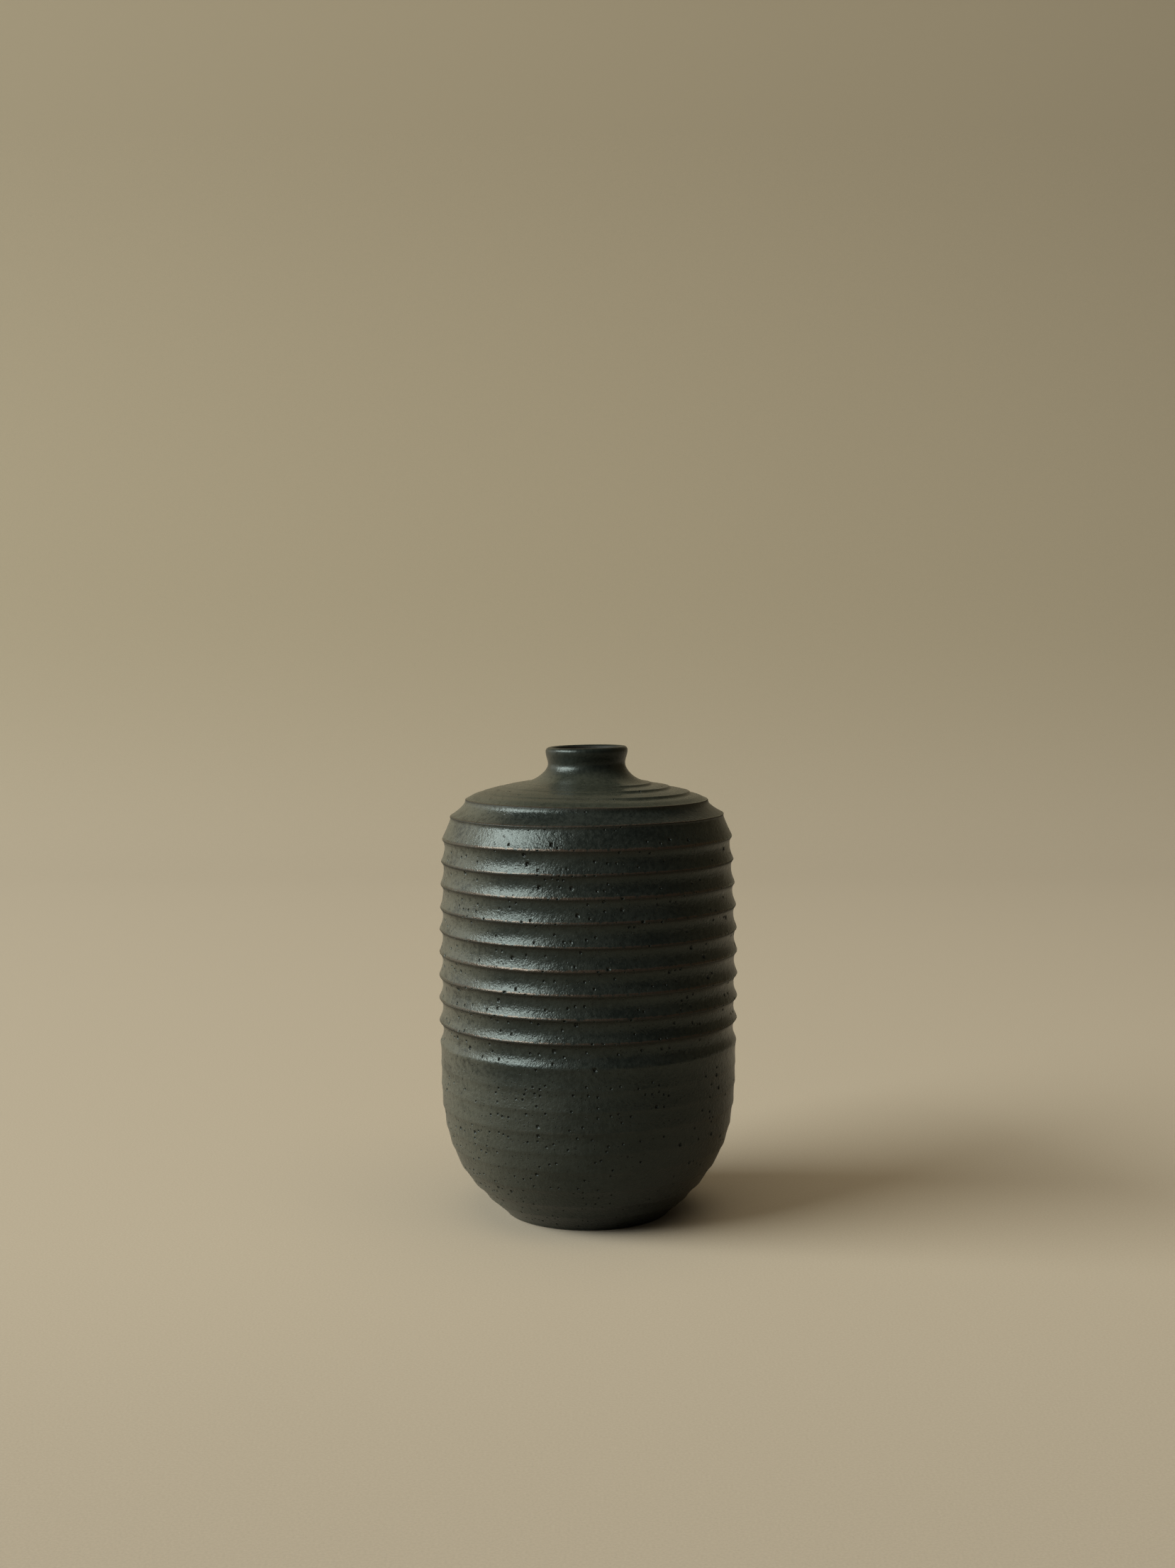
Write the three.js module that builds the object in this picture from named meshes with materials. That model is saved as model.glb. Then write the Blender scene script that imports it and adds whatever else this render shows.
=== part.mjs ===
// Ribbed bud vase in glazed stoneware. Sizes are in millimetres.
// The axis of the vase is Z, the foot stands on Z = 0 and the mouth is at the top.
// The vase is shown in the sections that it is thrown in, with the slip that joins them
// and the glaze that is poured into it.
import * as THREE from "three";

// Facets round the axis. All pieces share them, so nested surfaces stay parallel.
const FACETS = 40;

// Foot and bowl
const FOOT_RADIUS = 30.6;
const FOOT_ROUNDING = 0.9;
const FLOOR_THICKNESS = 6.5;
const BOWL_HEIGHT = 63.3;
const BOWL_FULLNESS = 3.3;
const BOWL_RINGS = 10;

// Ribbed wall
const BELLY_RADIUS = 57.4;
const BELLY_HEIGHT = 88;
const TOP_RIB_INSET = 1.8;
const FIRST_RIB_RISE = 2.9;
const RIB_COUNT = 10;
const RIB_PITCH = 8.71;
const RIB_DEPTH = 1.2;
const LOWEST_RIB_DEPTH = 0.5;
const RIB_OVERHANG = 2.6;
const RIBBED_WALL_CLOSING = 5.5;

// Shoulder: each edge lies further in and higher than the one below it, first the last
// rib at the turn, then the sharp corner, then three low terraces. The steps say how far
// an edge stands proud of the surface under it.
const TURN_IN = 3.2;
const TURN_UP = 2.4;
const TURN_STEP = 0.85;
const CORNER_IN = 6.1;
const CORNER_UP = 6;
const CORNER_STEP = 0.45;
const LOW_TERRACE_IN = 7;
const LOW_TERRACE_UP = 3;
const MIDDLE_TERRACE_IN = 7.6;
const MIDDLE_TERRACE_UP = 1.9;
const HIGH_TERRACE_IN = 7.1;
const HIGH_TERRACE_UP = 1.4;
const TERRACE_STEP = 0.27;
const EDGE_RUN = 1.2;

// Neck and rolled lip
const NECK_RADIUS = 14.8;
const NECK_WALL = 4;
const NECK_FLARE_HEIGHT = 7.44;
const NECK_FLARE_SHAPE = 1.75;
const NECK_SEAM_RISE = 1.6;
const COVE_HEIGHT = 2;
const LIP_ROLL = 2.6;
const LIP_PROUD = 0.9;

// Wall under the rib crests, slip joints and the glaze inside
const WALL = 4.8;
const SLIP_THICKNESS = 0.6;
const SLIP_INSET = 0.15;
const LINER_GAP = 0.3;
const LINER_THICKNESS = 0.5;
const LINER_BELOW_RIM = 3.5;

// Heights that follow from the sizes above
const LOWER_SEAM = BOWL_HEIGHT;
const RIBS_FROM = LOWER_SEAM + SLIP_THICKNESS;
const FIRST_CREST = RIBS_FROM + FIRST_RIB_RISE;
const TOP_CREST = FIRST_CREST + (RIB_COUNT - 1) * RIB_PITCH;
const UPPER_SEAM = TOP_CREST + RIBBED_WALL_CLOSING;
const SHOULDER_FROM = UPPER_SEAM + SLIP_THICKNESS;
const TOP_RIB_RADIUS = BELLY_RADIUS - TOP_RIB_INSET;
const SHOULDER_EDGES = shoulderEdges();
const INNERMOST_EDGE = SHOULDER_EDGES[SHOULDER_EDGES.length - 1];
const FLARE_FROM = INNERMOST_EDGE.height;
const NECK_SEAM = FLARE_FROM + NECK_SEAM_RISE;
const COLLAR_FROM = NECK_SEAM + SLIP_THICKNESS;
const NECK_WAIST = FLARE_FROM + NECK_FLARE_HEIGHT;
const COVE_TOP = NECK_WAIST + COVE_HEIGHT;

// Lip: the roll is a round of radius LIP_ROLL that stands proud of the neck.
const LIP_CENTRE_RADIUS = NECK_RADIUS + LIP_PROUD - LIP_ROLL;
const LIP_START = -Math.acos((NECK_RADIUS - LIP_CENTRE_RADIUS) / LIP_ROLL);
const LIP_CENTRE_HEIGHT = COVE_TOP - LIP_ROLL * Math.sin(LIP_START);
const RIM_HEIGHT = LIP_CENTRE_HEIGHT + LIP_ROLL;
const THROAT_RADIUS = NECK_RADIUS - NECK_WALL;

// Radius, height and step of each edge of the shoulder, from the turn in to the neck.
function shoulderEdges() {
  const moves = [
    [TURN_IN, TURN_UP, TURN_STEP],
    [CORNER_IN, CORNER_UP, CORNER_STEP],
    [LOW_TERRACE_IN, LOW_TERRACE_UP, TERRACE_STEP],
    [MIDDLE_TERRACE_IN, MIDDLE_TERRACE_UP, TERRACE_STEP],
    [HIGH_TERRACE_IN, HIGH_TERRACE_UP, TERRACE_STEP],
  ];
  let radius = TOP_RIB_RADIUS;
  let height = SHOULDER_FROM;
  return moves.map(([inwards, up, step]) => {
    radius -= inwards;
    height += up;
    return { radius, height, step };
  });
}

// A point of a profile: x is the radius and y is the height.
function point(radius, height) {
  return new THREE.Vector2(radius, height);
}

// Radius of the line through the rib crests at a height.
function crestRadius(height) {
  const drop = (BELLY_RADIUS - TOP_RIB_RADIUS) / (TOP_CREST - BELLY_HEIGHT) ** 2;
  return BELLY_RADIUS - drop * (height - BELLY_HEIGHT) ** 2;
}

// Radius of the smooth bowl at a height.
function bowlRadius(height) {
  const rim = crestRadius(LOWER_SEAM) - LOWEST_RIB_DEPTH;
  const left = 1 - height / LOWER_SEAM;
  return FOOT_RADIUS + (rim - FOOT_RADIUS) * (1 - left ** BOWL_FULLNESS);
}

// The bowl from the foot up, with its rounded foot edge. Rings lie closer near the foot.
function bowlOutline() {
  const outline = [point(FOOT_RADIUS - FOOT_ROUNDING, 0)];
  for (let i = 1; i <= BOWL_RINGS; i += 1) {
    const share = i / BOWL_RINGS;
    const height = FOOT_ROUNDING + (LOWER_SEAM - FOOT_ROUNDING) * share ** 1.5;
    if (i === 1) outline.push(point(bowlRadius(FOOT_ROUNDING), FOOT_ROUNDING));
    outline.push(point(bowlRadius(height), height));
  }
  return outline;
}

// The ribs hang over one another like stacked skirts: from each crest the wall draws in
// to a root, and the next crest overhangs that root with a short underside.
function ribOutline() {
  const outline = [point(crestRadius(RIBS_FROM) - LOWEST_RIB_DEPTH, RIBS_FROM)];
  for (let rib = 0; rib < RIB_COUNT; rib += 1) {
    const crest = FIRST_CREST + rib * RIB_PITCH;
    outline.push(point(crestRadius(crest), crest));
    if (rib === RIB_COUNT - 1) break;
    const depth = rib === 0 ? (RIB_DEPTH + LOWEST_RIB_DEPTH) / 2 : RIB_DEPTH;
    const wall = RIB_PITCH - RIB_OVERHANG;
    for (const share of [0.3, 0.65, 1]) {
      const height = crest + wall * share;
      const inset = depth * Math.sin((share * Math.PI) / 2);
      outline.push(point(crestRadius(height) - inset, height));
    }
    const under = crest + wall + RIB_OVERHANG * 0.55;
    outline.push(point(crestRadius(under) - depth * 0.33, under));
  }
  return outline;
}

// The shoulder closes the form in over terraces, each with a small edge.
function shoulderOutline() {
  const outline = [];
  let from = point(crestRadius(TOP_CREST), TOP_CREST);
  for (const edge of SHOULDER_EDGES) {
    const to = point(edge.radius, edge.height);
    const run = to.clone().sub(from).normalize();
    const inward = point(-run.y, run.x);
    const before = from.distanceTo(to);
    const foot = to.clone().addScaledVector(run, -EDGE_RUN).addScaledVector(inward, edge.step);
    const middle = from.clone().addScaledVector(run, before * 0.45);
    outline.push(middle.addScaledVector(inward, edge.step * 0.6));
    outline.push(foot);
    outline.push(to);
    from = to;
  }
  return outline;
}

// The neck flares out of the innermost edge and stands straight under the lip.
function neckOutline() {
  const outline = [];
  const reach = INNERMOST_EDGE.radius - NECK_RADIUS;
  for (const share of [0.1, 0.22, 0.36, 0.52, 0.74, 1]) {
    const low = 1 - share;
    const out = 1 - (1 - low ** NECK_FLARE_SHAPE) ** (1 / NECK_FLARE_SHAPE);
    outline.push(point(NECK_RADIUS + reach * out, FLARE_FROM + NECK_FLARE_HEIGHT * share));
  }
  outline.push(point(NECK_RADIUS, COVE_TOP));
  return outline;
}

// The whole outside from the foot to the underside of the lip.
function outsideOutline() {
  return [...bowlOutline(), ...ribOutline(), ...shoulderOutline(), ...neckOutline()];
}

// The smooth line that the wall thickness is measured from.
function envelopeOutline() {
  const outline = bowlOutline().slice(1);
  for (let rib = 1; rib < RIB_COUNT; rib += 2) {
    const crest = FIRST_CREST + rib * RIB_PITCH;
    outline.push(point(crestRadius(crest), crest));
  }
  for (const edge of SHOULDER_EDGES) outline.push(point(edge.radius, edge.height));
  return [...outline, ...neckOutline().slice(1)];
}

// A line set inwards by a distance, square to itself.
function setInwards(outline, distance) {
  return outline.map((at, i) => {
    const before = outline[Math.max(i - 1, 0)];
    const after = outline[Math.min(i + 1, outline.length - 1)];
    const run = after.clone().sub(before).normalize();
    return at.clone().addScaledVector(point(-run.y, run.x), distance);
  });
}

// Radius of an outline at a height, read between its points.
function radiusAt(outline, height) {
  for (let i = 1; i < outline.length; i += 1) {
    const low = outline[i - 1];
    const high = outline[i];
    if (height <= high.y) {
      return low.x + ((high.x - low.x) * (height - low.y)) / (high.y - low.y);
    }
  }
  return outline[outline.length - 1].x;
}

// The part of an outline between two heights, with points on both.
function between(outline, low, high) {
  const inside = outline.filter((at) => at.y > low + 0.05 && at.y < high - 0.05);
  return [
    point(radiusAt(outline, low), low),
    ...inside,
    point(radiusAt(outline, high), high),
  ];
}

// The inside of the clay from the floor's corner up to the throat.
function insideOutline() {
  const wall = setInwards(envelopeOutline(), WALL);
  const above = wall.filter((at) => at.y > FLOOR_THICKNESS + WALL && at.x > THROAT_RADIUS);
  const lowest = above[0];
  const corner = point(radiusAt(wall, FLOOR_THICKNESS) - WALL, FLOOR_THICKNESS);
  const turn = point(
    corner.x + (lowest.x - corner.x) * 0.62,
    FLOOR_THICKNESS + (lowest.y - FLOOR_THICKNESS) * 0.35,
  );
  return [
    corner,
    turn,
    ...above,
    point(THROAT_RADIUS, NECK_WAIST),
    point(THROAT_RADIUS, LIP_CENTRE_HEIGHT),
  ];
}

const OUTSIDE = outsideOutline();
const INSIDE = insideOutline();

// A solid turned round the Z axis from a profile that closes on itself or on the axis.
function turned(profile) {
  const solid = new THREE.LatheGeometry(profile, FACETS);
  solid.rotateX(Math.PI / 2);
  return solid;
}

// A ring-shaped section of the wall between two heights.
function wallSection(low, high) {
  const out = between(OUTSIDE, low, high);
  const back = between(INSIDE, low, high).reverse();
  return turned([...out, ...back, out[0].clone()]);
}

// Floor, foot and smooth lower wall in one thrown piece.
function lowerBowl() {
  const out = between(OUTSIDE, 0, LOWER_SEAM);
  const back = between(INSIDE, FLOOR_THICKNESS, LOWER_SEAM).reverse();
  return turned([point(0, 0), ...out, ...back, point(0, FLOOR_THICKNESS)]);
}

// Neck with the rolled lip and the throat inside it.
function neckCollar() {
  const out = between(OUTSIDE, COLLAR_FROM, COVE_TOP);
  const end = Math.PI - Math.acos(Math.min(1, (LIP_CENTRE_RADIUS - THROAT_RADIUS) / LIP_ROLL));
  const roll = [];
  for (let i = 1; i <= 10; i += 1) {
    const angle = LIP_START + ((end - LIP_START) * i) / 10;
    const radius = LIP_CENTRE_RADIUS + LIP_ROLL * Math.cos(angle);
    roll.push(point(radius, LIP_CENTRE_HEIGHT + LIP_ROLL * Math.sin(angle)));
  }
  const back = between(INSIDE, COLLAR_FROM, LIP_CENTRE_HEIGHT).reverse();
  return turned([...out, ...roll, ...back, out[0].clone()]);
}

// Slip squeezed flat between two sections. It stays a little inside both faces.
function slipSeam(low) {
  const high = low + SLIP_THICKNESS;
  const outer = Math.min(radiusAt(OUTSIDE, low), radiusAt(OUTSIDE, high)) - SLIP_INSET;
  const inner = Math.max(radiusAt(INSIDE, low), radiusAt(INSIDE, high)) + SLIP_INSET;
  return turned([
    point(inner, low),
    point(outer, low),
    point(outer, high),
    point(inner, high),
    point(inner, low),
  ]);
}

// Glaze poured into the vase: a thin coat over the floor and the wall, open at the mouth.
function linerGlaze() {
  const top = RIM_HEIGHT - LINER_BELOW_RIM;
  const coat = (distance) => {
    const set = setInwards(INSIDE.slice(1), distance);
    const floor = FLOOR_THICKNESS + distance;
    const corner = point(INSIDE[0].x - distance * 0.5, floor);
    return [point(0, floor), corner, ...set.filter((at) => at.y < top - 0.5)];
  };
  const out = coat(LINER_GAP);
  const back = coat(LINER_GAP + LINER_THICKNESS).reverse();
  const outer = THROAT_RADIUS - LINER_GAP;
  return turned([...out, point(outer, top), point(outer - LINER_THICKNESS, top), ...back]);
}

// Satin green-black stoneware glaze of the outside.
function bodyGlaze() {
  return new THREE.MeshStandardMaterial({ color: 0x30372f, roughness: 0.46, metalness: 0 });
}

// The same glaze, smoother where fingers closed the neck.
function neckGlaze() {
  return new THREE.MeshStandardMaterial({ color: 0x2a312c, roughness: 0.36, metalness: 0 });
}

// Iron-rich slip that shows brown at the joints.
function slipClay() {
  return new THREE.MeshStandardMaterial({ color: 0x4a3524, roughness: 0.8, metalness: 0 });
}

// Dark glossy glaze of the inside.
function insideGlaze() {
  return new THREE.MeshStandardMaterial({ color: 0x15181a, roughness: 0.3, metalness: 0 });
}

function piece(name, geometry, material) {
  const mesh = new THREE.Mesh(geometry, material);
  mesh.name = name;
  return mesh;
}

const vase = new THREE.Group();
vase.name = "ribbed_bud_vase";
vase.add(piece("lower_bowl", lowerBowl(), bodyGlaze()));
vase.add(piece("slip_seam_lower", slipSeam(LOWER_SEAM), slipClay()));
vase.add(piece("ribbed_wall", wallSection(RIBS_FROM, UPPER_SEAM), bodyGlaze()));
vase.add(piece("slip_seam_upper", slipSeam(UPPER_SEAM), slipClay()));
vase.add(piece("shoulder", wallSection(SHOULDER_FROM, NECK_SEAM), bodyGlaze()));
vase.add(piece("slip_seam_neck", slipSeam(NECK_SEAM), slipClay()));
vase.add(piece("neck_collar", neckCollar(), neckGlaze()));
vase.add(piece("liner_glaze", linerGlaze(), insideGlaze()));

export default vase;
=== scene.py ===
"""Ribbed bud vase in satin green-black stoneware glaze, on a pale beige sweep."""

import logging
import math
from dataclasses import dataclass, field
from enum import Enum
from typing import Iterable

import bpy
import numpy as np
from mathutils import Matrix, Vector


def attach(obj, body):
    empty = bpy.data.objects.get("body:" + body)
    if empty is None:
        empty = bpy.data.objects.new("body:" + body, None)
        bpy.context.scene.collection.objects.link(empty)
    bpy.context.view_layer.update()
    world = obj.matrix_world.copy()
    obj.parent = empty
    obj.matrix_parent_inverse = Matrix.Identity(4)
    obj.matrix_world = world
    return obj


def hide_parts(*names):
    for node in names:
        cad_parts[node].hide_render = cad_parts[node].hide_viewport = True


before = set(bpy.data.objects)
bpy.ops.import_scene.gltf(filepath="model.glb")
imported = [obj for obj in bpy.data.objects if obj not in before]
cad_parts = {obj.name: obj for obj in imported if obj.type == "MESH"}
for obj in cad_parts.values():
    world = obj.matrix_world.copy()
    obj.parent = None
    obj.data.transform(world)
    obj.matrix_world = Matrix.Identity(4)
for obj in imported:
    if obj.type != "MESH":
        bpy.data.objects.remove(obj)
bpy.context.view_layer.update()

Triple = tuple[float, float, float]
Colour = Triple
Arrays = tuple[np.ndarray, ...]
Socket = bpy.types.NodeSocket

MM = 0.001
COLUMNS = 520
SKIRT_POINTS = 160
LOG = logging.getLogger("vase")


class PitSize(Enum):
    """Cells of the surface grid that a pit takes across, its depth in millimetres and its share."""

    PINHOLE = (1, 0.22, 0.5)
    PIT = (2, 0.42, 0.42)
    CRATER = (3, 0.6, 0.08)

    @property
    def cells(self) -> int:
        """Cells across."""
        return self.value[0]

    @property
    def depth(self) -> float:
        """Depth in millimetres."""
        return self.value[1]

    @property
    def share(self) -> float:
        """Share of all pits that have this size."""
        return self.value[2]


def rise(value: np.ndarray, start: float, end: float) -> np.ndarray:
    """Smooth step from 0 at the start to 1 at the end, held beyond both."""
    share = np.clip((value - start) / (end - start), 0.0, 1.0)
    return share * share * (3.0 - 2.0 * share)


def inset(line: np.ndarray, distance: float) -> np.ndarray:
    """Sets a line of radii and heights in towards the axis, square to its run.

    Args:
        line: radii and heights from low to high.
        distance: distance in millimetres.

    Returns:
        The new radii and heights.
    """
    run = np.gradient(line, axis=1)
    run /= np.hypot(*run)
    return line + np.stack([-run[1], run[0]]) * distance


def band(first: np.ndarray, second: np.ndarray) -> np.ndarray:
    """Faces between two closed loops of as many points."""
    return np.stack([first, np.roll(first, -1), np.roll(second, -1), second], axis=1)


@dataclass(frozen=True)
class Grain:
    """Smooth random relief on a lattice that closes on itself round the vase.

    Attributes:
        around: lattice cells in one turn.
        pitch: height of one lattice cell in millimetres.
        seed: seed of the random values.
        reach: height in millimetres that the lattice covers.
    """

    around: int
    pitch: float
    seed: int
    reach: float = 260.0

    def sample(self, angle: np.ndarray, height: np.ndarray) -> np.ndarray:
        """Reads the relief.

        Args:
            angle: angles round the axis in radians.
            height: heights in millimetres, the same shape.

        Returns:
            Values between -1 and 1.
        """
        rows = int(self.reach / self.pitch) + 4
        lattice = np.random.default_rng(self.seed).uniform(-1, 1, (rows, self.around))
        u = (angle / (2 * math.pi) % 1.0) * self.around
        v = np.clip(height / self.pitch + 1.0, 0, rows - 2.001)
        i = np.floor(u).astype(int) % self.around
        j = np.floor(v).astype(int)
        du = rise(u - np.floor(u), 0.0, 1.0)
        dv = rise(v - np.floor(v), 0.0, 1.0)
        right = (i + 1) % self.around
        low = lattice[j, i] * (1 - du) + lattice[j, right] * du
        high = lattice[j + 1, i] * (1 - du) + lattice[j + 1, right] * du
        return low * (1 - dv) + high * dv


@dataclass(frozen=True)
class Skirt:
    """The surface between two crests: a wall that draws in, a root, and an underside.

    Attributes:
        low: radius and height of the crest below.
        high: radius and height of the crest above.
        depth: how far the root lies inside the line from crest to crest.
        overhang: way from the root to the upper crest.
        bulge: how far the wall swells out again near the lower crest.
        edge: share of the way at which the underside is back at the crest.
    """

    low: tuple[float, float]
    high: tuple[float, float]
    depth: float
    overhang: float
    bulge: float = 0.0
    edge: float = 0.975

    def trace(self, share: np.ndarray) -> Arrays:
        """Radius and height along the skirt.

        Args:
            share: way from the lower crest to the upper one, 0 to 1.

        Returns:
            Radii and heights in millimetres.
        """
        run = np.subtract(self.high, self.low)
        length = float(np.hypot(*run))
        inwards = np.array([-run[1], run[0]]) / length
        root = 1.0 - self.overhang / length
        wall = np.sin(np.clip(share / root, 0, 1) * math.pi / 2)
        under = np.clip((share - root) / (self.edge - root), 0, 1)
        sunk = self.depth * np.where(share <= root, wall, 1.0 - under**3)
        sunk = sunk - self.bulge * np.sin(math.pi * share) ** 2
        radius = self.low[0] + run[0] * share + inwards[0] * sunk
        return radius, self.low[1] + run[1] * share + inwards[1] * sunk


@dataclass(frozen=True)
class Edge:
    """An edge of the shoulder and the skirt that leads up to it, in millimetres.

    Attributes:
        radius: radius of the edge.
        height: height of the edge.
        depth: depth of the skirt's root.
        overhang: way from the root to the edge.
        bulge: how far the skirt swells.
        mark: how strongly the glaze breaks at the edge and how dark the painted shade under it is, 0 to 1.
    """

    radius: float
    height: float
    depth: float = 0.0
    overhang: float = 0.0
    bulge: float = 0.0
    mark: float = 0.1


SHOULDER_EDGES = (
    Edge(52.4, 153.69, 0.45, 1.7, mark=0.9),
    Edge(46.3, 159.69, 0.85, 3.0, mark=0.9),
    Edge(39.3, 162.69, 0.05, 1.0, 0.34),
    Edge(31.7, 164.59, 0.04, 1.0, 0.16),
    Edge(24.6, 165.99, 0.04, 1.0, 0.12),
)


@dataclass
class Outline:
    """Outside of the vase as one line from the foot to the lip, in millimetres.

    Attributes:
        fullness: power of the bowl's curve, higher where it swells out sooner.
        depths: depth of the root under each rib but the lowest.
        overhangs: way from each of these roots to the rib above it.
        top_inset: how far the top rib lies inside the widest one.
        waist: height of the narrow place under the lip.
        lip_proud: how far the lip stands out from the neck.
        lip_half: half the lip's thickness.
        floor: height of the clay's floor.
        corner: width of the round between the floor and the wall.
        throat: radius of the clay's narrowest place, between two heights.
        faint: heights of the faint rings in the bowl.
        ridge: how strongly the glaze breaks at a faint ring.
        clear_ring: number of the one ring that shows more.
        rib_turn: share of a rib's skirt that its underside takes.
        edge_turn: longest underside of the shoulder's edges.
        track: radius, height, crest mark and root mark along the whole line.
    """

    foot_radius: float = 30.6
    foot_rounding: float = 0.9
    bowl_height: float = 63.3
    fullness: float = 3.3
    belly_radius: float = 57.38
    belly_height: float = 88.0
    first_crest: float = 66.8
    pitch: float = 8.71
    ribs: int = 10
    depths: tuple[float, ...] = (1.45, 1.4, 1.42, 1.32, 1.24, 1.16, 1.12, 1.12, 1.15)
    overhangs: tuple[float, ...] = (4.1, 4.0, 3.9, 3.9, 3.8, 3.8, 3.7, 3.7, 3.7)
    top_inset: float = 1.8
    edges: tuple[Edge, ...] = SHOULDER_EDGES
    neck_radius: float = 14.8
    waist: float = 173.43
    lip_proud: float = 0.92
    lip_height: float = 178.4
    lip_half: float = 1.52
    lip_rise: float = 1.56
    wall: float = 4.8
    floor: float = 6.5
    corner: float = 8.0
    throat: float = 10.9
    throat_ends: tuple[float, float] = (169.2, 172.0)
    faint: tuple[float, ...] = (6.9, 12.4, 19.4, 27.5, 34.8, 42.8, 50.9, 58.5)
    faint_depths: tuple[float, ...] = (0.3, 0.6, 0.4, 0.3, 0.26, 0.4, 0.3, 0.24, 0.2)
    faint_overhang: float = 2.8
    faint_turn: float = 1.6
    ridge: float = 0.2
    clear_ring: int = 6
    clear_ridge: float = 0.42
    faint_root: float = 0.1
    rib_turn: float = 0.17
    edge_turn: float = 1.0
    track: np.ndarray = field(init=False)

    def __post_init__(self) -> None:
        """Traces the whole line and leaves out points that fall on one another."""
        parts = [self.foot(), *self.bowl(), *self.body(), *self.shoulder(), self.neck()]
        line = np.concatenate([np.stack(part) for part in parts], axis=1)
        keep = np.concatenate([[True], np.hypot(*np.diff(line[:2], axis=1)) > 1e-6])
        self.track = line[:, keep]

    @property
    def top_crest(self) -> float:
        """Height of the highest full rib."""
        return self.first_crest + (self.ribs - 1) * self.pitch

    def at(self, height: np.ndarray) -> np.ndarray:
        """Radius, height, crest mark and root mark of the outside at some heights.

        Args:
            height: heights in millimetres.

        Returns:
            A row of values for each of the four.
        """
        found = np.stack([np.interp(height, self.track[1], values) for values in self.track])
        found[1] = height
        return found

    def crest_line(self, height: float) -> float:
        """Radius of the line through the rib crests at a height."""
        reach = self.top_crest - self.belly_height
        return self.belly_radius - self.top_inset * ((height - self.belly_height) / reach) ** 2

    def bowl_line(self, height: float) -> float:
        """Radius of the smooth bowl at a height.

        Args:
            height: height in millimetres.

        Returns:
            The radius in millimetres.
        """
        rim = self.crest_line(self.bowl_height) - 0.25
        left = max(0.0, 1.0 - height / self.bowl_height)
        return self.foot_radius + (rim - self.foot_radius) * (1.0 - left**self.fullness)

    def foot(self) -> Arrays:
        """Rounded edge between the flat foot and the bowl.

        Returns:
            Radii, heights, crest marks and root marks.
        """
        turn = np.linspace(0, math.pi / 2, 14)
        end = self.bowl_line(self.foot_rounding)
        radius = end - self.foot_rounding * 1.5 * (1 - np.sin(turn))
        height = self.foot_rounding * (1 - np.cos(turn))
        return radius, height, np.zeros_like(turn), np.zeros_like(turn)

    def bowl(self) -> Iterable[Arrays]:
        """Smooth bowl with the faint rings that the fingers left in it.

        Returns:
            Radii, heights, crest marks and root marks of each stretch.
        """
        ends = (self.foot_rounding, *self.faint, self.first_crest)
        for index, (low, high) in enumerate(zip(ends, ends[1:])):
            share = np.linspace(0, 1, 120)
            height = low + (high - low) * share
            base = np.array([self.bowl_line(h) for h in height])
            if high == self.first_crest:
                base = base + (self.crest_line(high) - base[-1]) * share**2
            skirt = Skirt((0, low), (0, high), self.faint_depths[index], self.faint_overhang)
            ridge = self.clear_ridge if index == self.clear_ring else self.ridge
            marks = self.marks(share, self.faint_turn / (high - low), ridge, self.faint_root)
            yield (base + skirt.trace(share)[0], height, *marks)

    def marks(self, share: np.ndarray, turn: float, low: float, high: float) -> Arrays:
        """How much a point belongs to a crest's edge and to the root under it.

        Args:
            share: way along the skirt, 0 at the lower crest and 1 at the upper one.
            turn: share of the skirt that its underside takes.
            low: strength of the marks at the lower crest.
            high: strength of the marks at the upper crest.

        Returns:
            Crest marks and root marks, 0 to 1; the root marks carry pooled glaze and painted shade under
            the crests.
        """
        up = (share - (1 - turn)) / turn
        over_edge = rise(share, 0.085, 0.05) * low
        under_edge = rise(up, 0.9, 1.0) * 0.35 * high
        # Root mark: a dark line just under the crest and a softer band over the root, pooled glaze and
        # painted shade.
        line = rise(up, 0.42, 0.72) * rise(up, 1.02, 0.94)
        shade = 0.3 * rise(up, -0.3, 0.3)
        return np.maximum(over_edge, under_edge), np.maximum(line, shade) * high

    def body(self) -> Iterable[Arrays]:
        """Ten ribs that hang over one another like stacked skirts.

        Returns:
            Radii, heights, crest marks and root marks of each stretch.
        """
        share = np.linspace(0, 1, SKIRT_POINTS)
        for rib, (depth, overhang) in enumerate(zip(self.depths, self.overhangs)):
            low = self.first_crest + rib * self.pitch
            high = low + self.pitch
            skirt = Skirt((self.crest_line(low), low), (self.crest_line(high), high), depth, overhang)
            yield (*skirt.trace(share), *self.marks(share, self.rib_turn, 1.0 if rib else 0.1, 1.0))

    def shoulder(self) -> Iterable[Arrays]:
        """Turn, corner and three low terraces up to the neck.

        Returns:
            Radii, heights, crest marks and root marks of each stretch.
        """
        share = np.linspace(0, 1, SKIRT_POINTS)
        top_rib = Edge(self.crest_line(self.top_crest), self.top_crest, mark=1.0)
        for low, high in zip((top_rib, *self.edges), self.edges):
            ends = (low.radius, low.height), (high.radius, high.height)
            skirt = Skirt(*ends, high.depth, high.overhang, high.bulge)
            turn = min(self.edge_turn, high.overhang) / math.dist(*ends)
            yield (*skirt.trace(share), *self.marks(share, turn, low.mark, high.mark))

    def neck(self) -> Arrays:
        """Flare from the innermost terrace up to the cove under the lip.

        Returns:
            Radii, heights, crest marks and root marks.
        """
        share = np.linspace(0, 1, 260) ** 1.6
        shape = 1.75
        out = 1 - (1 - (1 - share) ** shape) ** (1 / shape)
        start = self.edges[-1]
        radius = self.neck_radius + (start.radius - self.neck_radius) * out
        height = start.height + (self.waist - start.height) * share
        return radius, height, np.zeros_like(radius), np.zeros_like(radius)

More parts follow.
